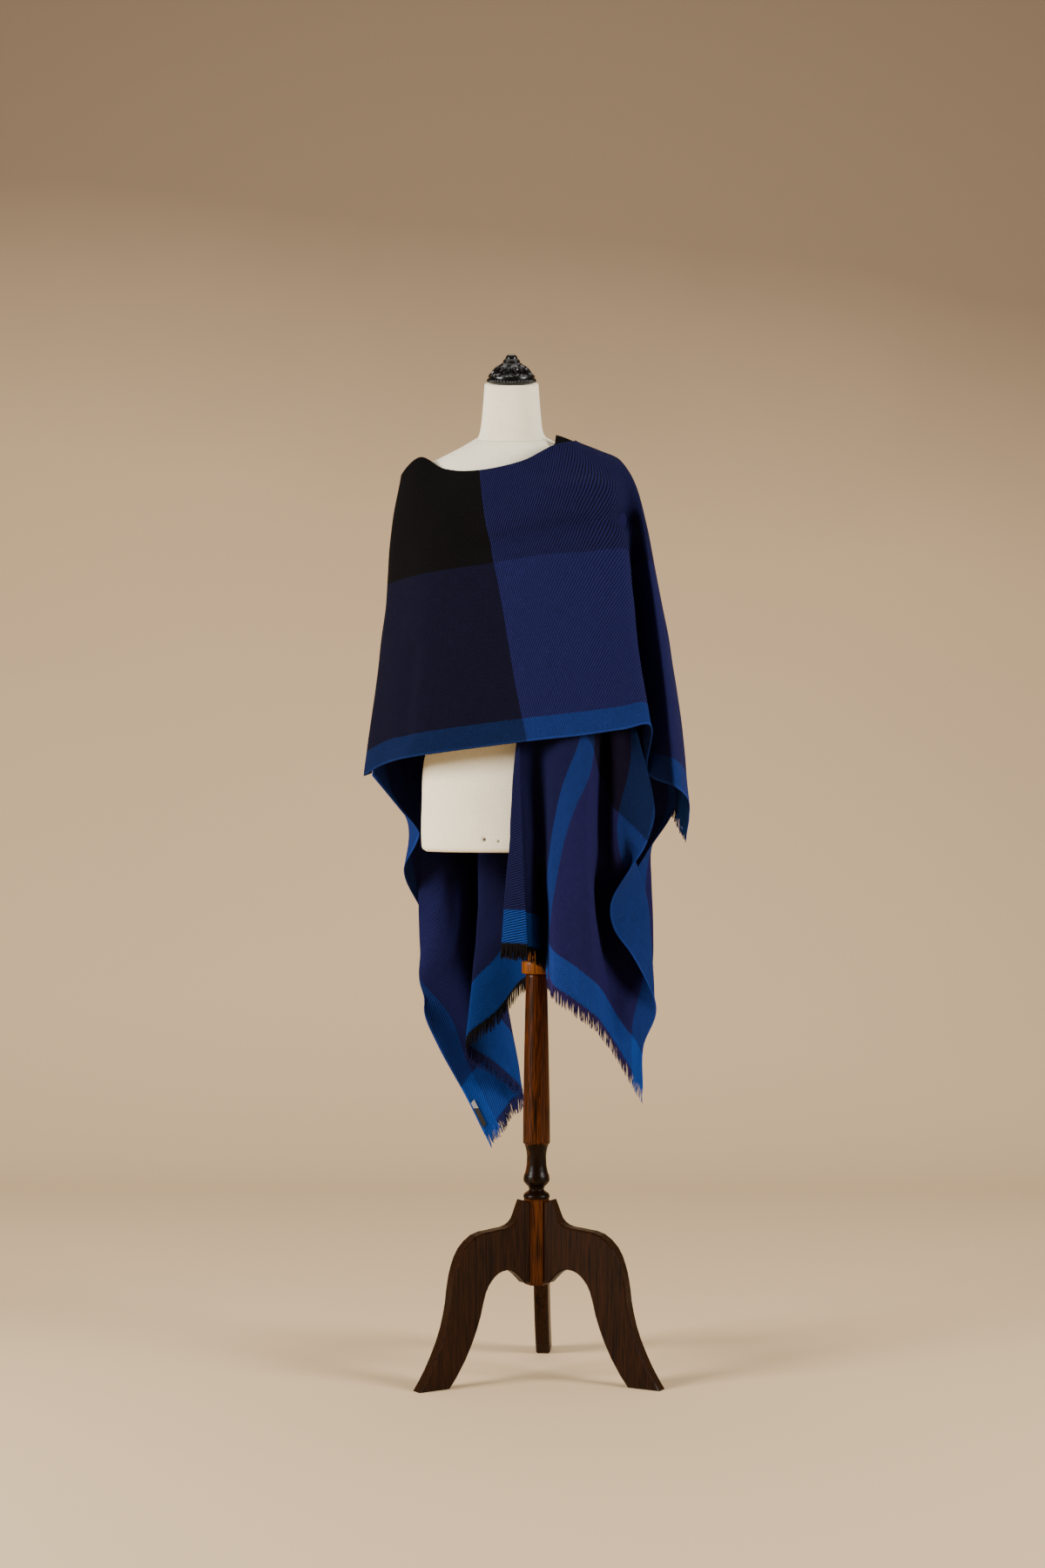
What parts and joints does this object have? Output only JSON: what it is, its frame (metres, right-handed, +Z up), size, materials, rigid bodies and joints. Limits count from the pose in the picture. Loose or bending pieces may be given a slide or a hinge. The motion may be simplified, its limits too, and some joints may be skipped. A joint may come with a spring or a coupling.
{
  "type": "ruana on limbless dress form with tripod stand",
  "caption": "Checked twill ruana, its right front thrown across the chest over the left shoulder, on a limbless linen dress form with a turned wooden tripod stand.",
  "frame": {"origin": "centre of the underside of the bounding box, on the floor", "axes": "+Z up, the wearer faces -Y, +X to the wearer's left"},
  "size_m": [0.5362, 0.3888, 1.6735],
  "materials": {
    "twill_navy": "matte worsted twill",
    "twill_purple": "matte worsted twill",
    "twill_blue": "matte worsted twill",
    "fringe": "loose yarn ends",
    "label_tape": "blank woven tape",
    "linen": "cream plain-weave linen",
    "walnut": "dark stain under satin lacquer",
    "pine": "lighter orange-brown stain",
    "cap_black": "gloss black cast resin"
  },
  "bodies": {
    "root": {"right_front_panel": "twill_navy", "left_front_panel": "twill_purple", "back_panel": "twill_blue", "right_front_fringe": "fringe", "left_front_fringe": "fringe", "back_fringe": "fringe", "care_label": "label_tape", "torso": "linen", "neck": "linen", "neck_cap": "cap_black", "inner_rod": "pine", "collar": "pine", "pole": "walnut", "hub": "walnut", "leg_left": "walnut", "leg_right": "walnut", "leg_back": "walnut"}
  },
  "joints": []
}
